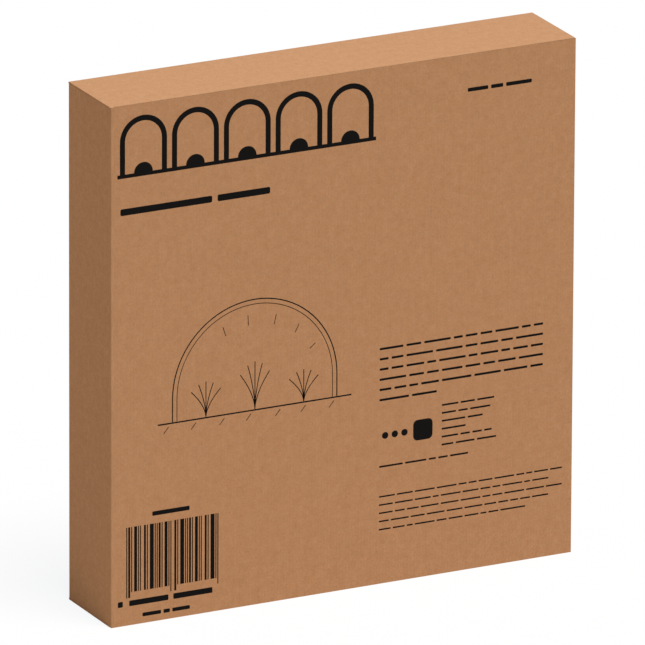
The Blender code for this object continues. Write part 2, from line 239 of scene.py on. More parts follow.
class Shape:
    """Collects the points and faces of one piece."""

    def __init__(self):
        self.verts = []
        self.faces = []

    def add(self, points, faces):
        base = len(self.verts)
        self.verts.extend(points)
        self.faces.extend([tuple(base + index for index in face) for face in faces])

    def loft(self, rings, inside_out=False):
        """A closed skin through rings of one length, with a flat cap at each end."""
        count = len(rings[0])
        faces = []
        for ring in range(len(rings) - 1):
            near = ring * count
            far = near + count
            for index in range(count):
                after = (index + 1) % count
                faces.append((near + index, near + after, far + after, far + index))
        last = (len(rings) - 1) * count
        faces.append(tuple(reversed(range(count))))
        faces.append(tuple(range(last, last + count)))
        if inside_out:
            faces = [face[::-1] for face in faces]
        self.add([point for ring in rings for point in ring], faces)

    def prism(self, loop, place, low, high, steps=1):
        """A closed outline drawn out from low to high. place turns (a, b, height) into a point."""
        loop = list(loop)
        if signed_area(loop) < 0:
            loop.reverse()
        rings = []
        for step in range(steps + 1):
            height = low + (high - low) * step / steps
            rings.append([place(a, b, height) for a, b in loop])
        self.loft(rings)

    def grid(self, rows):
        """An open surface through rows of points, all of one length."""
        width = len(rows[0])
        points = [point for row in rows for point in row]
        faces = []
        for row in range(len(rows) - 1):
            for column in range(width - 1):
                near = row * width + column
                far = near + width
                faces.append((near, near + 1, far + 1, far))
        self.add(points, faces)

    def piece(self, name, material, smooth_angle=40.0):
        mesh = bpy.data.meshes.new(name)
        mesh.from_pydata([tuple(vert) for vert in self.verts], [], self.faces)
        mesh.validate()
        mesh.materials.append(material)
        mesh.shade_smooth()
        mesh.set_sharp_from_angle(angle=math.radians(smooth_angle))
        piece = bpy.data.objects.new(name, mesh)
        bpy.context.scene.collection.objects.link(piece)
        return piece


# Materials


class Nodes:
    """A short way to wire a node tree."""

    def __init__(self, tree):
        self.tree = tree

    def link(self, value, socket):
        """Links an output to a socket, or sets a plain value on it."""
        if isinstance(value, bpy.types.NodeSocket):
            self.tree.links.new(value, socket)
        else:
            socket.default_value = value

    def fill(self, node, values):
        """Links or sets a node's inputs, named with underscores for spaces."""
        for name, value in values.items():
            self.link(value, node.inputs[name.replace("_", " ")])

    def node(self, kind, **values):
        node = self.tree.nodes.new("ShaderNode" + kind)
        self.fill(node, values)
        return node

    def math(self, operation, *values):
        """One sum, product or the like. Values are numbers or outputs."""
        node = self.node("Math")
        node.operation = operation
        for value, socket in zip(values, node.inputs):
            self.link(value, socket)
        return node.outputs["Value"]

    def total(self, *parts):
        """The sum of several values, each given with its weight."""
        result = self.math("MULTIPLY", *parts[0])
        for value, weight in parts[1:]:
            result = self.math("MULTIPLY_ADD", value, weight, result)
        return result

    def level(self, value, from_low, from_high, to_low=0.0, to_high=1.0):
        """Stretches one range of a value to another, and holds it there."""
        node = self.node(
            "MapRange", Value=value, From_Min=from_low, From_Max=from_high, To_Min=to_low, To_Max=to_high
        )
        return node.outputs["Result"]

    def ramp(self, value, *stops):
        """Colours along a value, each given with its position."""
        node = self.node("ValToRGB", Fac=value)
        elements = node.color_ramp.elements
        while len(elements) < len(stops):
            elements.new(0.5)
        for element, (position, colour) in zip(elements, stops):
            element.position = position
            element.color = (*colour, 1.0)
        return node.outputs["Color"]

    def mix(self, share, first, second, blend="MIX"):
        """Mixes two colours, for which the node has its inputs 6 and 7 and its output 2."""
        node = self.node("Mix")
        node.data_type = "RGBA"
        node.blend_type = blend
        self.link(share, node.inputs["Factor"])
        for colour, socket in ((first, node.inputs[6]), (second, node.inputs[7])):
            self.link((*colour, 1.0) if isinstance(colour, tuple) else colour, socket)
        return node.outputs[2]

    def seen_directly(self):
        """1 for rays that show the background itself: from the camera, off gloss and through clear film."""
        rays = self.node("LightPath").outputs
        camera_or_gloss = self.math("MAXIMUM", rays["Is Camera Ray"], rays["Is Glossy Ray"])
        return self.math("MAXIMUM", camera_or_gloss, rays["Is Transmission Ray"])


class Surface(Nodes):
    """One material of the part, laid out in its pieces' own coordinates."""

    def __init__(self, name):
        self.material = bpy.data.materials.new(name)
        self.material.use_nodes = True
        super().__init__(self.material.node_tree)
        self.shader = self.tree.nodes["Principled BSDF"]
        self.place = self.node("TexCoord").outputs["Object"]

    def axis(self, name):
        return self.node("SeparateXYZ", Vector=self.place).outputs[name]

    def noise(self, scale, detail=2.0, stretch=(1, 1, 1), turn=(0, 0, 0), roughness=0.55):
        """Soft noise, which stretch and turn give a grain."""
        mapping = self.node("Mapping", Vector=self.place, Scale=stretch, Rotation=turn)
        texture = self.node(
            "TexNoise", Vector=mapping.outputs["Vector"], Scale=scale, Detail=detail, Roughness=roughness
        )
        return texture.outputs["Fac"]

    def cells(self, scale, feature, wander):
        """Crumple pattern: irregular cells whose borders wander by up to that many metres."""
        sway = self.node("TexNoise", Vector=self.place, Scale=scale * 0.8)
        moved = self.node("VectorMath")
        moved.operation = "MULTIPLY_ADD"
        reach = (2 * wander, 2 * wander, 2 * wander)
        for value, socket in zip((sway.outputs["Color"], reach, self.place), moved.inputs):
            self.link(value, socket)
        texture = self.node("TexVoronoi", Vector=moved.outputs["Vector"], Scale=scale)
        texture.feature = feature
        return texture.outputs["Distance"]

    def bump(self, height, distance, strength=1.0):
        node = self.node("Bump", Height=height, Distance=distance, Strength=strength)
        self.shade(Normal=node.outputs["Normal"])

    def shade(self, **values):
        self.fill(self.shader, values)


def upright_fibres(nodes):
    return nodes.noise(600, stretch=(4.5, 4.5, 0.8), turn=(0, 0.35, 0.2))


def kraft_board(name, flute_axis):
    """Brown liner paper: cloudy pulp, short fibres, a few dark flecks, and a faint shadow of the flutes.

    Its streaks run along the flutes, across the axis that counts them.
    """
    nodes = Surface(name)
    clouds = nodes.noise(130, detail=4.0, roughness=0.7)
    grain = nodes.noise(520, detail=4.0, roughness=0.7)
    fibres_across = nodes.noise(600, stretch=(0.8, 0.9, 4.5), turn=(0.3, -0.25, 0))
    fibres = nodes.math("MAXIMUM", upright_fibres(nodes), fibres_across)
    turns = nodes.math("MULTIPLY", nodes.axis(flute_axis), 2 * math.pi / FLUTE_PITCH)
    flutes = nodes.math("SINE", turns)
    stretch = (2.2, 1.0, 0.22) if flute_axis == "X" else (1.0, 2.2, 0.22)
    streaks = nodes.noise(110, detail=3.0, stretch=stretch)
    tone = nodes.total((grain, 0.38), (clouds, 0.30), (fibres, 0.22), (streaks, 0.10), (flutes, 0.006))
    colour = nodes.ramp(tone, (0.38, KRAFT_DARK), (0.52, KRAFT_MIDDLE), (0.66, KRAFT_LIGHT))
    warmth = nodes.level(nodes.noise(210, turn=(0.7, 0.2, 0.4)), 0.30, 0.70)
    colour = nodes.mix(nodes.math("MULTIPLY", warmth, WARM_PULP_SHARE), colour, WARM_PULP, "MULTIPLY")
    flecks = nodes.level(nodes.noise(420, detail=1.0, stretch=(1.0, 1.0, 0.6)), 0.70, 0.78)
    colour = nodes.mix(nodes.math("MULTIPLY", flecks, 0.22), colour, KRAFT_FLECK)
    rough = nodes.level(fibres, 0.35, 0.75, 0.74, 0.90)
    nodes.shade(Base_Color=colour, Roughness=rough, Specular_IOR_Level=BOARD_GLOSS)
    nodes.bump(nodes.total((grain, 0.5), (fibres, 0.6), (flutes, 0.12)), 0.06 * MM)
    return nodes.material


def crease_board(name):
    """Liner paper over a crease: the fibres are pressed and a little cracked along the fold."""
    nodes = Surface(name)
    clouds = nodes.noise(45, detail=4.0)
    cracks = nodes.noise(900, detail=3.0, stretch=(1.6, 1.6, 0.25))
    tone = nodes.total((clouds, 0.45), (cracks, 0.55))
    colour = nodes.ramp(tone, (0.34, KRAFT_DARK), (0.52, KRAFT_MIDDLE), (0.70, KRAFT_LIGHT))
    nodes.shade(Base_Color=colour, Roughness=0.85, Specular_IOR_Level=BOARD_GLOSS)
    nodes.bump(cracks, 0.10 * MM)
    return nodes.material


def board_core(name):
    """The rougher, darker paper of the flutes, seen at cut edges."""
    nodes = Surface(name)
    pulp = nodes.noise(1100, detail=4.0)
    colour = nodes.ramp(pulp, (0.30, CORE_DARK), (0.70, CORE_LIGHT))
    nodes.shade(Base_Color=colour, Roughness=0.95, Specular_IOR_Level=0.2)
    nodes.bump(pulp, 0.12 * MM)
    return nodes.material


def printing_ink(name):
    """Flat black ink that lets a little of the paper's fibre show."""
    nodes = Surface(name)
    grain = nodes.noise(1500)
    thin = nodes.level(nodes.math("MULTIPLY", grain, upright_fibres(nodes)), 0.34, 0.48)
    colour = nodes.mix(nodes.math("MULTIPLY", thin, 0.5), INK_BLACK, INK_THIN)
    rough = nodes.level(grain, 0.3, 0.7, 0.50, 0.66)
    nodes.shade(Base_Color=colour, Roughness=rough, Specular_IOR_Level=BOARD_GLOSS)
    nodes.bump(grain, 0.02 * MM)
    return nodes.material


def galvanised_wire(name):
    """Drawn steel wire with a zinc coat: fine draw marks and cloudy grey patches."""
    nodes = Surface(name)
    patches = nodes.noise(160, detail=4.0)
    marks = nodes.noise(500, stretch=(2.0, 2.0, 0.4))
    tone = nodes.total((patches, 0.6), (marks, 0.4))
    colour = nodes.ramp(tone, (0.32, ZINC_DARK), (0.68, ZINC_LIGHT))
    nodes.shade(Base_Color=colour, Metallic=1.0, Roughness=nodes.level(patches, 0.3, 0.7, 0.28, 0.46))
    nodes.bump(marks, 0.03 * MM)
    return nodes.material


def tunnel_film(name, alpha):
    """Milky polyethylene film: it passes light, and its old folds show as facets with whitened lines."""
    nodes = Surface(name)
    haze = nodes.noise(14, detail=3.0)
    fine = nodes.noise(260, detail=3.0)
    wide_facets = nodes.cells(26, "F1", 10 * MM)
    small_facets = nodes.cells(85, "F1", 4 * MM)
    crease_lines = nodes.cells(26, "DISTANCE_TO_EDGE", 10 * MM)
    patches = nodes.level(nodes.noise(38), 0.48, 0.62)
    whitened = nodes.math("MULTIPLY", nodes.level(crease_lines, 0.0, 0.035, 1.0, 0.0), patches)
    colour = nodes.mix(whitened, FILM_CLEAR, FILM_WHITENED)
    rough = nodes.math("MULTIPLY_ADD", whitened, 0.10, nodes.level(fine, 0.35, 0.70, 0.16, 0.26))
    clouded = nodes.level(haze, 0.35, 0.70, alpha - 0.03, alpha + 0.03)
    cover = nodes.math("MULTIPLY_ADD", whitened, 0.07, clouded)
    nodes.shade(Base_Color=colour, Roughness=rough, Alpha=cover, Specular_IOR_Level=0.6)
    relief = nodes.total((small_facets, 0.30), (wide_facets, 1.0), (fine, 0.02))
    nodes.bump(relief, 4 * MM, strength=0.6)
    return nodes.material


def leaflet_paper(name):
    nodes = Surface(name)
    pulp = nodes.noise(900, detail=3.0)
    waves = nodes.noise(25)
    colour = nodes.ramp(pulp, (0.30, PAGE_DARK), (0.70, PAGE_LIGHT))
    nodes.shade(Base_Color=colour, Roughness=0.8, Specular_IOR_Level=0.3)
    nodes.bump(nodes.math("MULTIPLY_ADD", waves, 4.0, pulp), 0.08 * MM)
    return nodes.material


FRONT_BOARD = kraft_board("kraft_liner_front_and_back", "X")
SIDE_BOARD = kraft_board("kraft_liner_sides", "Y")
CREASE = crease_board("kraft_crease")
CORE = board_core("board_core")
INK = printing_ink("black_ink")
WIRE = galvanised_wire("galvanised_wire")
FILM = tunnel_film("tunnel_film", FILM_ALPHA)
HEM_FILM = tunnel_film("tunnel_film_hem", HEM_ALPHA)
PAPER = leaflet_paper("leaflet_paper")
PAGE_INK = printing_ink("leaflet_ink")


# Carton


def wrap_outline():
    """Plan of the back panel and both side walls as one folded board, open at the front."""
    fold = OUTER_FOLD_RADIUS
    outer = [(-HALF_WIDTH, LID_FACE_Y + CREASE_REACH)]
    outer += arc((-HALF_WIDTH + fold, BACK_Y - fold), fold, 180, 90)
    outer += arc((HALF_WIDTH - fold, BACK_Y - fold), fold, 90, 0)
    inside = HALF_WIDTH - BOARD
    cut_edge = [
        (HALF_WIDTH, WALL_FRONT_Y),
        (HALF_WIDTH - LINER, WALL_FRONT_Y),
        (HALF_WIDTH - LINER, WALL_FRONT_Y + EDGE_RECESS),
        (inside + LINER, WALL_FRONT_Y + EDGE_RECESS),
        (inside + LINER, WALL_FRONT_Y),
        (inside, WALL_FRONT_Y),
    ]
    bend = INNER_FOLD_RADIUS
    inner_back = BACK_Y - BOARD
    inner = arc((inside - bend, inner_back - bend), bend, 0, 90)
    inner += arc((-inside + bend, inner_back - bend), bend, 90, 180)
    inner += [(-inside, LID_FACE_Y + CREASE_REACH)]
    return outer + cut_edge + inner


def cut_box(piece, low, high):
    """Cuts a box out of a piece and keeps the result as its mesh."""
    shape = Shape()
    loop = [(low[0], low[1]), (high[0], low[1]), (high[0], high[1]), (low[0], high[1])]
    shape.prism(loop, upright, low[2], high[2])
    cutter = shape.piece("slot_cutter", CORE)
    boolean = piece.modifiers.new("slot", "BOOLEAN")
    boolean.operation = "DIFFERENCE"
    boolean.solver = "EXACT"
    boolean.object = cutter
    bpy.context.view_layer.update()
    graph = bpy.context.evaluated_depsgraph_get()
    mesh = bpy.data.meshes.new_from_object(piece.evaluated_get(graph))
    piece.modifiers.remove(boolean)
    piece.data = mesh
    bpy.data.objects.remove(cutter, do_unlink=True)


def make_wrap():
    """The back panel with both side walls, and the slots of the lock tabs."""
    shape = Shape()
    shape.prism(wrap_outline(), upright, BOARD + SEAM, HEIGHT - BOARD - SEAM)
    wrap = shape.piece("carton_wrap", FRONT_BOARD)
    for layer_low in (top_wall_low.z, FLOOR_TOP_Z - BOARD):
        for middle in (-SLOT_MIDDLE, SLOT_MIDDLE):
            low = (middle - SLOT_WIDTH / 2, BACK_Y - 2 * BOARD, layer_low - SLOT_PLAY)
            high = (middle + SLOT_WIDTH / 2, BACK_Y + BOARD, layer_low + BOARD + SLOT_PLAY)
            cut_box(wrap, low, high)
    wrap.data.materials.clear()
    wrap.data.materials.append(FRONT_BOARD)
    wrap.data.materials.append(SIDE_BOARD)
    for polygon in wrap.data.polygons:
        polygon.material_index = int(abs(polygon.normal.x) > SIDEWAYS)
    wrap.data.set_sharp_from_angle(angle=math.radians(40))
    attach(wrap, "carton")
    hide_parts("carton_back_panel", "carton_left_wall", "carton_right_wall")


def double_wall_path():
    """Outer face of a rolled double wall in section, as ((y, depth below the outer face), half width).

    It runs from the lip behind the back crease, over the outer layer, round the roll at the front and back
    along the inner layer.
    """
    wide = HALF_WIDTH
    narrow = HALF_WIDTH - BOARD - SLOT_PLAY
    path = [((BACK_Y, BOARD + SEAM), wide)]
    fold = OUTER_FOLD_RADIUS
    for y, depth in arc((BACK_Y - fold, fold), fold, 0, -90):
        path.append(((y, depth), wide))
    roll_y = ROLL_FRONT_Y + ROLL_RADIUS
    for y, depth in arc((roll_y, ROLL_RADIUS), ROLL_RADIUS, -90, -180):
        path.append(((y, depth), wide if depth < CORNER_NOTCH_DEPTH else narrow))
    for y, depth in arc((roll_y, ROLL_DEPTH - ROLL_RADIUS), ROLL_RADIUS, 180, 90):
        path.append(((y, depth), narrow))
    path.append(((BACK_Y - BOARD - SLOT_PLAY, ROLL_DEPTH), narrow))
    return path


def inward_normals(points):
    """The direction into the board, for a path that keeps the board on its left when depth goes down."""
    normals = []
    for index in range(len(points)):
        before = points[max(index - 1, 0)]
        after = points[min(index + 1, len(points) - 1)]
        along = Vector((after[0] - before[0], after[1] - before[1]))
        along.normalize()
        normals.append((along.y, -along.x))
    return normals


def lock_tab_outline(middle):
    half = SLOT_WIDTH / 2 - SLOT_PLAY
    root = BACK_Y - BOARD - SLOT_PLAY
    tip = BACK_Y - SLOT_PLAY / 2
    return [(middle - half, root), (middle + half, root), (middle + half, tip), (middle - half, tip)]


def make_double_wall(end):
    """A rolled wall of three plies: two liners, and a core that stands back at the cut side edges."""
    is_top = end == "top"
    path = double_wall_path()
    normals = inward_normals([point for point, width in path])
    shape = Shape()
    plies = ((0.0, LINER, 0.0), (LINER, BOARD - LINER, CORE_RECESS), (BOARD - LINER, BOARD, 0.0))
    for near, far, recess in plies:
        rows = []
        for (point, width), normal in zip(path, normals):
            row = []
            reach = width - recess
            for offset, x in ((near, -reach), (near, reach), (far, reach), (far, -reach)):
                y = point[0] + normal[0] * offset
                depth = point[1] + normal[1] * offset
                row.append(Vector((x, y, HEIGHT - depth if is_top else depth)))
            rows.append(row)
        shape.loft(rows, inside_out=is_top)
    tab_low = HEIGHT - ROLL_DEPTH if is_top else ROLL_DEPTH - BOARD
    for middle in (-SLOT_MIDDLE, SLOT_MIDDLE):
        shape.prism(lock_tab_outline(middle), upright, tab_low, tab_low + BOARD)
    wall = shape.piece(f"{end}_double_wall", FRONT_BOARD)
    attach(wall, "carton")
    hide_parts(f"{end}_rolled_wall")


def make_lid():
    """Two liners that join round the free edge, with the fluted medium between them."""
    start = -HALF_WIDTH + CREASE_REACH
    radius = (LID_BACK_Y - LID_FACE_Y) / 2
    centre = (HALF_WIDTH - radius, (LID_BACK_Y + LID_FACE_Y) / 2)
    outside = [(start, LID_FACE_Y)] + arc(centre, radius, -90, 90) + [(start, LID_BACK_Y)]
    inside = [(start, LID_FACE_Y + LINER)] + arc(centre, radius - LINER, -90, 90)
    inside += [(start, LID_BACK_Y - LINER)]
    skin = Shape()
    skin.prism(outside + inside[::-1], upright, 0.0, HEIGHT)
    lid = skin.piece("lid_liners", FRONT_BOARD)
    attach(lid, "lid")
    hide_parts("lid_panel")
    make_lid_flutes(start, centre[0] - start)


def make_lid_flutes(start, length):
    """The waves of paper between the lid's liners."""
    low_y = LID_FACE_Y + LINER
    high_y = LID_BACK_Y - LINER
    swing = (high_y - low_y - MEDIUM) / 2
    count = int(length / FLUTE_PITCH) * FLUTE_STEPS
    front_line = []
    back_line = []
    for step in range(count + 1):
        x = start + length * step / count
        y = (low_y + high_y) / 2 + flute_wave(step, swing)
        front_line.append((x, y - MEDIUM / 2))
        back_line.append((x, y + MEDIUM / 2))
    medium = Shape()
    medium.prism(front_line + back_line[::-1], upright, CORE_RECESS, HEIGHT - CORE_RECESS)
    flutes = medium.piece("lid_flutes", CORE, smooth_angle=60)
    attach(flutes, "lid")


def make_lid_crease():
    """The strip of board between the left wall and the lid."""
    low_x = -HALF_WIDTH
    inside_x = low_x + BOARD
    end_x = low_x + CREASE_REACH
    end_y = LID_FACE_Y + CREASE_REACH
    split_y = WALL_FRONT_Y - SEAM
    fold = OUTER_FOLD_RADIUS
    bend = INNER_FOLD_RADIUS
    corner = [(low_x, split_y)]
    corner += arc((low_x + fold, LID_FACE_Y + fold), fold, 180, 270)
    corner += [(end_x, LID_FACE_Y), (end_x, LID_BACK_Y)]
    corner += arc((inside_x + bend, LID_BACK_Y + bend), bend, 270, 180)
    wall = [(low_x, split_y), (inside_x, split_y), (inside_x, end_y), (low_x, end_y)]
    shape = Shape()
    shape.prism(corner, upright, 0.0, HEIGHT, CREASE_STEPS)
    shape.prism(wall, upright, BOARD + SEAM, HEIGHT - BOARD - SEAM, CREASE_STEPS)
    crease = shape.piece("lid_crease", CREASE)
    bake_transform(crease)


class TuckFlap:
    """The tuck flap's place: it leans inward from its crease, behind the lid's right edge."""

    def __init__(self):
        low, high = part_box("lid_tuck_flap")
        self.crease = Vector((HALF_WIDTH - BOARD - SLOT_PLAY, LID_BACK_Y, 0))
        lean = math.asin((self.crease.x - BOARD - low.x) / TUCK_DEPTH)
        self.inward = Vector((-math.sin(lean), math.cos(lean), 0))
        self.outward = Vector((math.cos(lean), math.sin(lean), 0))
        self.middle_z = (low.z + high.z) / 2
        self.half_root = (high.z - low.z) / 2

    def half_length(self, depth):
        """Half the flap's length at a depth from the crease, with its taper and rounded corners."""
        taper = TUCK_TAPER * depth / TUCK_DEPTH
        beyond = max(0.0, depth - (TUCK_DEPTH - TUCK_CORNER_RADIUS))
        rounding = TUCK_CORNER_RADIUS - math.sqrt(max(0.0, TUCK_CORNER_RADIUS ** 2 - beyond ** 2))
        return self.half_root - taper - rounding

    def place(self, depth, z, out):
        return self.crease + self.inward * depth + self.outward * out + Vector((0, 0, self.middle_z + z))


def make_tuck_liners(flap):
    """The two outer papers of the tuck flap."""
    straight = TUCK_DEPTH - TUCK_CORNER_RADIUS
    depths = [TUCK_ROOT, straight]
    for step in range(1, TUCK_CORNER_STEPS + 1):
        angle = math.radians(90 * step / TUCK_CORNER_STEPS)
        depths.append(straight + TUCK_CORNER_RADIUS * math.sin(angle))
    outline = [(depth, -flap.half_length(depth)) for depth in depths]
    outline += [(depth, flap.half_length(depth)) for depth in reversed(depths)]
    shape = Shape()
    for low_out in (-LINER, -BOARD):
        shape.prism(outline, flap.place, low_out, low_out + LINER)
    liners = shape.piece("tuck_flap_liners", SIDE_BOARD)
    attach(liners, "tuck_flap")
    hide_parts("lid_tuck_flap")


def make_tuck_flutes(flap):
    """The waves of paper between the tuck flap's liners."""
    fluted_depth = TUCK_DEPTH - TUCK_ROOT - LINER
    count = int(fluted_depth / FLUTE_PITCH * FLUTE_STEPS)
    swing = (BOARD - 2 * LINER - MEDIUM) / 2
    rings = []
    for step in range(count + 1):
        depth = TUCK_ROOT + fluted_depth * step / count
        wave = -BOARD / 2 + flute_wave(step, swing)
        reach = flap.half_length(depth) - CORE_RECESS
        near = wave - MEDIUM / 2
        far = wave + MEDIUM / 2
        corners = ((near, -reach), (near, reach), (far, reach), (far, -reach))
        rings.append([flap.place(depth, z, out) for out, z in corners])
    shape = Shape()
    shape.loft(rings)
    flutes = shape.piece("tuck_flap_flutes", CORE, smooth_angle=60)
    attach(flutes, "tuck_flap")


def make_tuck_crease(flap):
    """The strip between the lid and its tuck flap."""
    crease = flap.crease
    root_out = crease + flap.inward * TUCK_ROOT
    root_in = root_out - flap.outward * BOARD
    sunk_y = crease.y - LINER / 2
    loop = [(root_in.x, sunk_y), (crease.x, sunk_y), (root_out.x, root_out.y), (root_in.x, root_in.y)]
    shape = Shape()
    shape.prism(loop, upright, flap.middle_z - flap.half_root, flap.middle_z + flap.half_root, 2)
    fold = shape.piece("tuck_crease", CREASE)
    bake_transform(fold)


def dress_corner_tabs():
    """The corner tabs keep their solids and take the board's finish."""
    for end in ("top", "bottom"):
        for side in ("left", "right"):
            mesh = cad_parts[f"{end}_{side}_corner_tab"].data
            mesh.materials.clear()
            mesh.materials.append(FRONT_BOARD)


def make_carton():
    make_wrap()
    make_double_wall("top")
    make_double_wall("bottom")
    make_lid()
    make_lid_crease()
    flap = TuckFlap()
    make_tuck_liners(flap)
    make_tuck_flutes(flap)
    make_tuck_crease(flap)
    dress_corner_tabs()


# Printed marks on the lid, all generic


class Print:
    """Flat ink shapes on a face. Places are millimetres across from its left edge and up."""

    def __init__(self, name, place, ink, body):
        self.name = name
        self.place = place
        self.ink = ink
        self.body = body
        self.shape = Shape()

    def area(self, loop):
        points = [(x * MM, z * MM) for x, z in loop]
        self.shape.prism(points, self.place, 0.0, 1.0)

    def bar(self, low_x, low_z, width, height, corner=0.0):
        high_x = low_x + width
        high_z = low_z + height
        if corner <= 0:
            self.area([(low_x, low_z), (high_x, low_z), (high_x, high_z), (low_x, high_z)])
            return
        loop = arc((high_x - corner, high_z - corner), corner, 0, 90, 4)
        loop += arc((low_x + corner, high_z - corner), corner, 90, 180, 4)
        loop += arc((low_x + corner, low_z + corner), corner, 180, 270, 4)
        loop += arc((high_x - corner, low_z + corner), corner, 270, 360, 4)
        self.area(loop)

    def stroke(self, points, width):
        """A line of even width through points."""
        left = []
        right = []
        for index, (x, z) in enumerate(points):
            before = points[max(index - 1, 0)]
            after = points[min(index + 1, len(points) - 1)]
            along = Vector((after[0] - before[0], after[1] - before[1]))
            along.normalize()
            left.append((x - along.y * width / 2, z + along.x * width / 2))
            right.append((x + along.y * width / 2, z - along.x * width / 2))
        self.area(left + right[::-1])

    def bars(self, low_z, height, corner, *places):
        """Rounded bars in one row, each given as its left edge and its width."""
        for low_x, width in places:
            self.bar(low_x, low_z, width, height, corner)

    def words(self, low_x, low_z, width, height, rng):
        """One line of type, with a plain bar in the place of each word."""
        x = low_x
        finish = low_x + width
        letter = height * LETTER_WIDTH
        gap = height * WORD_GAP
        thickness = height * BAR_THICKNESS
        bar_z = low_z + (height - thickness) / 2
        while x < finish:
            length = rng.randint(LEAST_LETTERS, MOST_LETTERS) * letter
            if x + length + gap + LEAST_LETTERS * letter > finish:
                length = finish - x
            self.bar(x, bar_z, length, thickness, thickness * BAR_ROUNDING)
            x += length + gap

    def paragraph(self, low_x, top_z, pitch, height, rng, widths):
        """Lines of type under each other, with the width of each."""
        for row, width in enumerate(widths):
            self.words(low_x, top_z - row * pitch, width, height, rng)

    def finish(self):
        piece = self.shape.piece(self.name, self.ink)
        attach(piece, self.body)


def on_the_lid(x, z, height):
    """height 0 is just under the liner's face and 1 is the print's face, the frontmost part of the lid."""
    return Vector((x - HALF_WIDTH, LID_FACE_Y + PRINT_SUNK - height * PRINT_THICKNESS, z))


def lid_print(name):
    return Print(name, on_the_lid, INK, "lid")


def hoop_row():
    """The largest mark: plain hoops over mounds, in a row on a ground line."""
    marks = lid_print("print_hoop_row")
    low_x = 6.5
    high_x = 269.5
    ground = 431.0
    ground_width = 3.6
    top = 489.0
    count = 5
    stroke = 5.2
    gap = 5.0
    mound_radius = 9.5
    pitch = (high_x - low_x) / count
    radius = (pitch - stroke - gap) / 2
    foot = ground + ground_width
    marks.bar(low_x, ground, high_x - low_x, ground_width)
    for number in range(count):
        middle = low_x + pitch * (number + 0.5)
        line = [(middle + radius, foot)]
        line += arc((middle, top - stroke / 2 - radius), radius, 0, 180, 24)
        line += [(middle - radius, foot)]
        marks.stroke(line, stroke)
        marks.area(arc((middle, foot), mound_radius, 0, 180, 16))
    marks.finish()


def title_bars():
    title = lid_print("print_title")
    title.bars(395.5, 6.4, 1.6, (9.5, 93.0), (108.0, 53.5))
    title.finish()
    number = lid_print("print_number")
    number.bars(464.0, 3.6, 0.9, (363.5, 21.0), (387.5, 12.5), (403.0, 26.5))
    number.finish()


def garden_drawing():
    """A line drawing of one hoop seen from the front, with plain plants under it."""
    marks = lid_print("print_drawing")
    middle = 146.5
    ground = 190.0
    leg = 22.0
    half_span = 84.0
    half_ground = 99.0
    line = 0.85
    fine = line * 0.8
    for radius, width in ((half_span, line * 1.3), (half_span - 4.5, fine)):
        hoop = [(middle + radius, ground)]
        hoop += arc((middle, ground + leg), radius, 0, 180, 40)
        hoop += [(middle - radius, ground)]
        marks.stroke(hoop, width)
    ends = [(middle - half_ground, ground - line), (middle + half_ground, ground - line)]
    marks.stroke(ends, line * 1.6)
    for place in (-88, -60, -31, -4, 26, 52, 81):
        marks.stroke([(middle + place, ground - 4), (middle + place - 5, ground - 10)], fine)
    for degrees, lean in ((118, -1.7), (96, -0.6), (72, 1.0), (50, 2.3), (28, 3.1)):
        angle = math.radians(degrees)
        glint = []
        for radius, shift in ((half_span - 14, 0), (half_span - 24, lean)):
            x = middle + radius * math.cos(angle) + shift
            glint.append((x, ground + leg + radius * math.sin(angle)))
        marks.stroke(glint, fine)
    for place, height in ((-50, 34), (0, 46), (50, 31)):
        draw_plant(marks, middle + place, ground, height, line)
    marks.finish()


def draw_plant(marks, x, ground, height, line):
    """Five blades that bend outward from one root."""
    for bend in (-2, -1, 0, 1, 2):
        blade = []
        for step in range(9):
            share = step / 8
            tip = height * share * (1 - 0.06 * bend ** 2)
            blade.append((x + bend * 7.5 * share ** 1.7, ground + tip))
        marks.stroke(blade, line)


def text_bars():
    """Bars for three paragraphs of type, and for one line by itself."""
    rng = random.Random(7)
    left = 274.5
    maker = lid_print("print_maker_lines")
    maker.paragraph(left, 226.5, 9.9, 4.0, rng, (169, 169, 169, 169, 169, 59.15))
    maker.finish()
    address = lid_print("print_address_lines")
    address.paragraph(339.0, 163.0, 7.7, 3.2, rng, (54.28, 50.15, 42.48, 24.78, 51.92, 56.64))
    address.words(left, 112.5, 92.0, 3.2, rng)
    address.finish()
    small = lid_print("print_small_lines")
    small.paragraph(left, 83.5, 8.0, 2.7, rng, (190, 176, 190, 176, 152))
    small.finish()


def plain_badge():
    """Three dots and a plain rounded square."""
    marks = lid_print("print_badge")
    low_z = 134.0
    side = 20.0
    for x in (280.5, 290.5, 300.5):
        marks.area(arc((x, low_z + side / 2), 3.3, 0, 360, 20)[:-1])
    marks.bar(309.5, low_z, side, side, 4.5)
    marks.finish()


def stripe_label():
    """Upright stripes in a plain repeating order, and plain bars round them."""
    marks = lid_print("print_stripes")
    widths = (1, 2, 1, 3, 1, 1, 2, 1, 4, 1)
    gaps = (1, 1, 2, 1, 1, 3, 1, 2, 1, 1)
    x = 15.5
    end_x = 109.0
    high_z = 95.0
    usual_low_z = 32.0
    long_low_z = 26.5
    index = 0
    while x < end_x:
        width = widths[index % len(widths)]
        low_z = long_low_z if index % 15 < 2 else usual_low_z
        marks.bar(x, low_z, width, high_z - low_z)
        x += width + gaps[index % len(gaps)]
        index += 1
    marks.bars(102.5, 4.2, 1.0, (42.0, 38.0))
    marks.bars(18.5, 5.4, 1.0, (7.0, 5.0), (18.5, 40.0), (63.5, 40.0))
    marks.bars(6.5, 3.6, 0.9, (32.0, 19.0), (53.5, 6.5), (62.5, 18.0))
    marks.finish()


def print_lid():
    hoop_row()
    title_bars()
    garden_drawing()
    text_bars()
    plain_badge()
    stripe_label()


# Folded tunnel


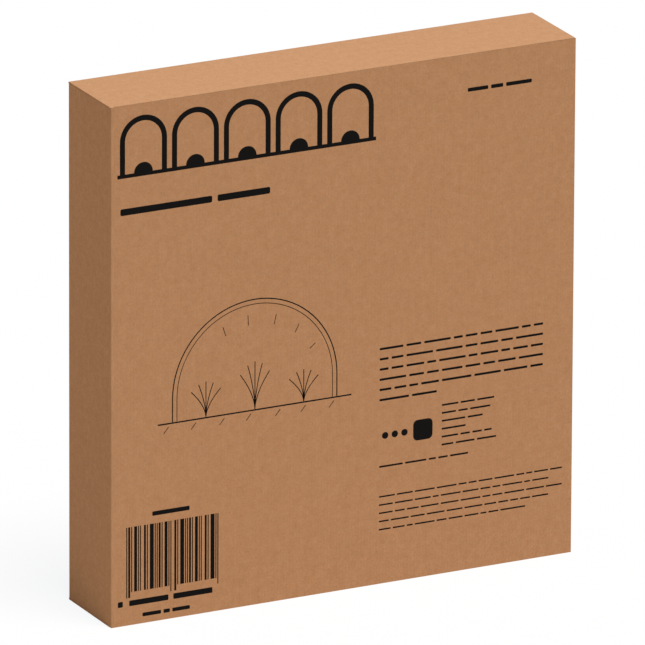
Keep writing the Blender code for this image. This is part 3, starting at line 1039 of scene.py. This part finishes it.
def hoop_y(number):
    low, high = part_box(f"hoop_{number}")
    return (low.y + high.y) / 2


def hoop_point(run, low_z):
    """Point and inward direction of a hoop's centre line, a length run from its left foot."""
    leg = ARCH_Z - low_z
    if run < leg:
        return Vector((-HOOP_RADIUS, 0, low_z + run)), Vector((1, 0, 0))
    if run > leg + ARC_LENGTH:
        return Vector((HOOP_RADIUS, 0, ARCH_Z - (run - leg - ARC_LENGTH))), Vector((-1, 0, 0))
    angle = math.pi - (run - leg) / HOOP_RADIUS
    outward = Vector((math.cos(angle), 0, math.sin(angle)))
    return Vector((0, 0, ARCH_Z)) + outward * HOOP_RADIUS, -outward


def tube_along_hoop(low_z, number, steps, radius_at):
    """A round tube along a hoop's line, with flat ends."""
    length = 2 * (ARCH_Z - low_z) + ARC_LENGTH
    middle_y = hoop_y(number)
    rings = []
    for step in range(steps + 1):
        centre, inward = hoop_point(length * step / steps, low_z)
        centre.y = middle_y
        ring = []
        for side in range(TUBE_SIDES):
            angle = 2 * math.pi * side / TUBE_SIDES
            across = inward * math.cos(angle) + Vector((0, math.sin(angle), 0))
            ring.append(centre + across * radius_at(step, angle))
        rings.append(ring)
    shape = Shape()
    shape.loft(rings)
    return shape


def make_hoop(number):
    """The bare wire, a little rounded off at its ends."""

    def wire_radius(index, angle):
        return WIRE_RADIUS * (WIRE_END_SHARE if index in (0, HOOP_STEPS) else 1.0)

    shape = tube_along_hoop(FOOT_Z, number, HOOP_STEPS, wire_radius)
    hoop = shape.piece(f"hoop_wire_{number}", WIRE)
    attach(hoop, HOOP_BODIES[number - 1])
    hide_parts(f"hoop_{number}")


def make_sleeve(number):
    """The welded channel of film round the wire, puckered along its length."""

    def sleeve_radius(index, angle):
        round_wire = Vector((index * 0.55, math.cos(angle) * 0.8, math.sin(angle) * 0.8 + number * 7))
        pucker = noise.noise(round_wire)
        slow = noise.noise(Vector((index * 0.06, number * 3.0, 0.5)))
        share = clamp(0.62 + 0.55 * pucker + 0.35 * slow)
        return WIRE_RADIUS + SLEEVE_GAP + share * SLEEVE_SLACK

    shape = tube_along_hoop(HEM_Z, number, SLEEVE_STEPS, sleeve_radius)
    sleeve = shape.piece(f"film_sleeve_{number}", HEM_FILM, smooth_angle=180)
    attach(sleeve, HOOP_BODIES[number - 1])
    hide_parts(f"hoop_sleeve_{number}")


def pleat_path():
    """The film's way between two hoops: (layer, share of the layer's depth, share across the stack)."""
    path = []
    for layer in range(LAYER_COUNT):
        for step in range(DEPTH_STEPS):
            share = step / (DEPTH_STEPS - 1)
            inward = share if layer % 2 == 0 else 1 - share
            across = (layer + 0.5 + 0.42 * (2 * share - 1) ** 5) / LAYER_COUNT
            path.append((layer, inward, across))
    return path


def folded_film(name, number, columns, place_of):
    """An open sheet of film, pleated between two hoops.

    place_of(column share, layer, inward) gives a point on the stack's middle, how strongly the film is
    gathered there, and how far the stack sways.
    """
    near = hoop_y(number) + SLEEVE_RADIUS + SHEET_CLEARANCE
    far = hoop_y(number + 1) - SLEEVE_RADIUS - SHEET_CLEARANCE
    rows = []
    for layer, inward, across in pleat_path():
        row = []
        for column in range(columns + 1):
            share = column / columns
            point, gathered, wave = place_of(share, layer, inward)
            room = (far - near) / 2 - GATHER_DEPTH * gathered
            wobble = noise.noise(Vector((share * 23, inward * 4, layer * 2.3 + number * 11)))
            offset = (2 * across - 1) * room + wobble * room / LAYER_COUNT * 0.7
            point.y = (near + far) / 2 + clamp(offset, -room, room) + GATHER_DEPTH * gathered * wave
            row.append(point)
        rows.append(row)
    shape = Shape()
    shape.grid(rows)
    sheet = shape.piece(name, FILM, smooth_angle=180)
    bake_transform(sheet)
    return sheet


def least_gather(depth):
    """Even flat film is never quite flat once it is away from the sleeve."""
    return LEAST_GATHER * smooth(depth / (GATHER_MARGIN / 2))


def make_bay(number):
    """The film over the arch between two hoops. It lies in gathers where the arch is too small for it."""

    def depth_of(share, layer, inward):
        uneven = PLEAT_UNEVENNESS * math.sin(GATHER_COUNT * share + number)
        ragged = RAGGED_EDGE * noise.noise(Vector((share * 9, layer // 2 * 5.1, number)))
        hem = LOOSE_HEM * (0.5 + noise.noise(Vector((share * 14, layer * 3.3, number * 2))))
        deepest = PLEAT_DEPTH + uneven + ragged - RAGGED_EDGE
        return deepest * inward + max(hem, LEAST_HEM) * (1 - inward)

    def place_of(share, layer, inward):
        run = share * (2 * LEG + ARC_LENGTH)
        point, direction = hoop_point(run, HEM_Z)
        round_arch = clamp((run - LEG) / ARC_LENGTH)
        depth = depth_of(share, layer, inward)
        gathered = math.sin(math.pi * round_arch) * smooth(depth / GATHER_MARGIN)
        phase = 2 * math.pi * GATHER_COUNT * round_arch + number
        drift = 1.1 * noise.noise(Vector((share * 5, depth * 12, number * 4)))
        gathers = 0.82 * math.sin(phase + drift) + 0.18 * math.sin(2.3 * phase + 2 * drift)
        crumple = 0.35 * noise.noise(Vector((share * 40, depth * 40, number)))
        billow = 1.7 * noise.noise(Vector((share * 12, depth * 17, number * 6)))
        wave = gathers * min(1.0, gathered / 0.3) + billow * (1 - gathered) + crumple
        place = point + direction * (depth - SLEEVE_RADIUS)
        return place, max(gathered, least_gather(depth)), clamp(wave, -1, 1)

    bay = folded_film(f"film_{number}", number, BAY_COLUMNS, place_of)
    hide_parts(f"film_bay_{number}")


def make_skirt(number, side, sign):
    """The flat strip beside the hoop legs that lies on the ground when the tunnel stands."""
    low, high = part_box(f"{side}_skirt_{number}")

    def place_of(share, layer, inward):
        drop = (high.z - low.z) * share
        depth = (PLEAT_DEPTH - SKIRT_SETBACK) * inward + SKIRT_START
        ragged = SKIRT_SETBACK * noise.noise(Vector((share * 3, layer * 4.1, number + sign)))
        gathered = clamp(min(depth, drop) / GATHER_MARGIN)
        wave = math.sin(2 * math.pi * SKIRT_GATHER_COUNT * inward + number + 1.5 * share)
        crumple = 0.4 * noise.noise(Vector((share * 6, depth * 40, number + 3 * sign)))
        x = sign * (HOOP_RADIUS + SLEEVE_RADIUS - depth + ragged * inward)
        place = Vector((x, 0, high.z - drop))
        return place, max(gathered, least_gather(depth)), clamp(wave + crumple, -1, 1)

    skirt = folded_film(f"{side}_ground_skirt_{number}", number, SKIRT_COLUMNS, place_of)
    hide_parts(f"{side}_skirt_{number}")


def make_leaflet():
    """Sheets folded together round one edge, with plain marks on the front page."""
    low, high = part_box("instruction_leaflet")
    middle_y = (low.y + high.y) / 2
    half = (high.y - low.y) / 2
    centre = (low.x + half, middle_y)
    shape = Shape()
    for sheet in range(LEAFLET_SHEETS):
        outer = half - sheet * PAPER_PITCH
        inner = outer - PAPER_THICKNESS
        edge = high.x - sheet * PAPER_STEP
        loop = [(edge, middle_y - outer)]
        loop += arc(centre, outer, 270, 90)
        loop += [(edge, middle_y + outer), (edge, middle_y + inner)]
        loop += arc(centre, inner, 90, 270)
        loop += [(edge, middle_y - inner)]
        shape.prism(loop, upright, low.z, high.z)
    leaflet = shape.piece("folded_leaflet", PAPER)
    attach(leaflet, "first_hoop")
    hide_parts("instruction_leaflet")
    leaflet_print(low)


def leaflet_print(corner):
    """Plain marks on the front page, placed from its lower left corner."""

    def on_the_page(x, z, height):
        return Vector((corner.x + x, corner.y + PRINT_SUNK - height * PRINT_THICKNESS, corner.z + z))

    rng = random.Random(11)
    marks = Print("leaflet_marks", on_the_page, PAGE_INK, "first_hoop")
    left = 14
    arch_centre = (74, 110)
    marks.bar(left, 186, 78, 7, 1.5)
    marks.stroke(arc(arch_centre, 41.3, 0, 180, 30), 1.4)
    marks.stroke(arc(arch_centre, 36.8, 0, 180, 30), 0.7)
    marks.bar(20, 107.2, 108, 1.4)
    marks.paragraph(left, 74, 6.5, 2.2, rng, 8 * (120,) + (72,))
    marks.finish()


def make_folded_tunnel():
    for number in range(1, len(HOOP_BODIES) + 1):
        make_hoop(number)
        make_sleeve(number)
    for number in range(1, len(HOOP_BODIES)):
        make_bay(number)
        make_skirt(number, "left", -1)
        make_skirt(number, "right", 1)
    make_leaflet()


# Stage, light and camera


def make_world():
    """Soft light from all round, which shows as plain white."""
    world = bpy.data.worlds.new("studio")
    world.use_nodes = True
    nodes = Nodes(world.node_tree)
    seen = nodes.seen_directly()
    colour = nodes.mix(seen, SKY_COLOUR, PLAIN_WHITE)
    strength = nodes.level(seen, 0.0, 1.0, SKY_STRENGTH, 1.0)
    nodes.fill(nodes.tree.nodes["Background"], {"Color": colour, "Strength": strength})
    bpy.context.scene.world = world


def floor_material():
    """Seen directly the floor is mostly its own white, with a share of its lit face for the shadow."""
    material = bpy.data.materials.new("studio_floor")
    material.use_nodes = True
    material.node_tree.nodes.clear()
    nodes = Nodes(material.node_tree)
    lit = nodes.node("BsdfDiffuse", Color=(*FLOOR_COLOUR, 1.0))
    white = nodes.node("Emission", Color=(*FLOOR_WHITE, 1.0))
    mix = nodes.node("MixShader")
    white_share = nodes.math("MULTIPLY", nodes.seen_directly(), FLOOR_WHITE_SHARE)
    for value, socket in zip((white_share, lit.outputs["BSDF"], white.outputs["Emission"]), mix.inputs):
        nodes.link(value, socket)
    nodes.node("OutputMaterial", Surface=mix.outputs["Shader"])
    return material


def make_floor():
    bpy.ops.mesh.primitive_plane_add(size=FLOOR_SIZE, location=(0, 0, 0))
    floor = bpy.context.object
    floor.name = "studio_floor"
    floor.data.materials.append(floor_material())


def make_sun():
    lamp = bpy.data.lights.new("sun", "SUN")
    lamp.energy = SUN_STRENGTH
    lamp.color = SUN_COLOUR
    lamp.angle = SUN_ANGLE
    sun = bpy.data.objects.new("sun", lamp)
    sun.rotation_mode = "QUATERNION"
    sun.rotation_quaternion = SUN_DIRECTION.to_track_quat("Z", "Y")
    bpy.context.scene.collection.objects.link(sun)


def make_camera():
    data = bpy.data.cameras.new("photo_camera")
    data.sensor_width = SENSOR
    data.lens = LENS
    data.clip_start = CLIP_NEAR
    data.clip_end = CLIP_FAR
    camera = bpy.data.objects.new("photo_camera", data)
    bpy.context.scene.collection.objects.link(camera)
    heading = Matrix.Rotation(CAMERA_AZIMUTH, 4, "Z")
    tilt = Matrix.Rotation(math.pi / 2 - CAMERA_ELEVATION, 4, "X")
    roll = Matrix.Rotation(CAMERA_ROLL, 4, "Z")
    camera.matrix_world = Matrix.Translation(CAMERA_PLACE) @ heading @ tilt @ roll
    bpy.context.scene.camera = camera


def make_stage():
    make_world()
    make_floor()
    make_sun()
    make_camera()
    bpy.context.scene.view_settings.view_transform = "Standard"


make_carton()
print_lid()
make_folded_tunnel()
make_stage()
